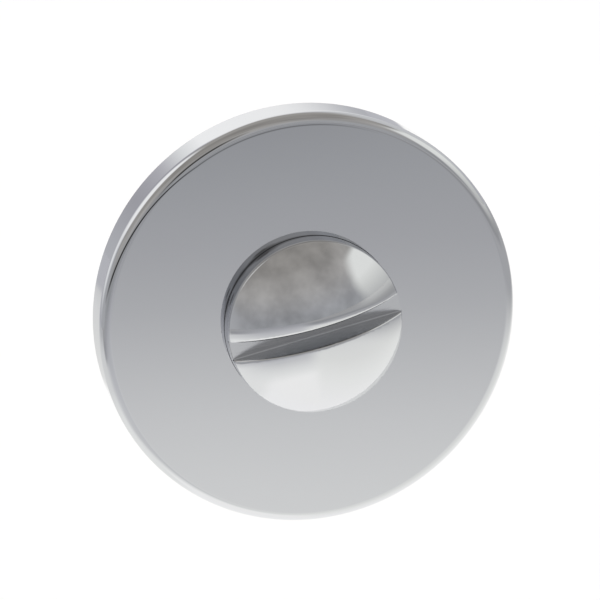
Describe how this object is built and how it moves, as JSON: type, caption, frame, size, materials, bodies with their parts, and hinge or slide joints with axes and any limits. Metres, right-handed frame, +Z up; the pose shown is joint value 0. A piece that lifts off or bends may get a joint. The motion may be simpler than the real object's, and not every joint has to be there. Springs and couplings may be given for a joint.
{
  "type": "bathroom lock release rose",
  "caption": "Round polished chrome bathroom lock rose with a domed coin-slot release that turns a square spindle.",
  "frame": {"origin": "on the turning axis, in the plane of the door's face", "axes": "+Y into the door along the turning axis, -Y out towards the person, +Z up, +X to the right seen from the front"},
  "size_m": [0.052, 0.0578, 0.052],
  "materials": {
    "polished_chrome": "bright chrome plate, polished",
    "zinc_casting": "raw zinc alloy die casting, fine grain",
    "white_nylon": "moulded natural nylon, satin",
    "spring_steel": "phosphated spring steel, dark",
    "zinc_plated_steel": "bright zinc plate"
  },
  "bodies": {
    "rose": {"rose_cover": "polished_chrome", "base_plate": "zinc_casting", "shank_bush": "white_nylon", "spring_washer": "spring_steel", "thrust_washer": "zinc_plated_steel", "cover_snap_ring": "spring_steel", "bolt_nib_left": "zinc_plated_steel", "bolt_nib_right": "zinc_plated_steel", "wood_screw_lower": "zinc_plated_steel", "wood_screw_upper": "zinc_plated_steel"},
    "release": {"release": "polished_chrome", "circlip": "spring_steel", "spindle": "zinc_plated_steel"}
  },
  "joints": [
    {"name": "release_turn", "type": "hinge", "parent": "rose", "child": "release", "pos_m": [0, 0, 0], "axis": [0, 1, 0], "range_deg": [-90, 90]}
  ]
}
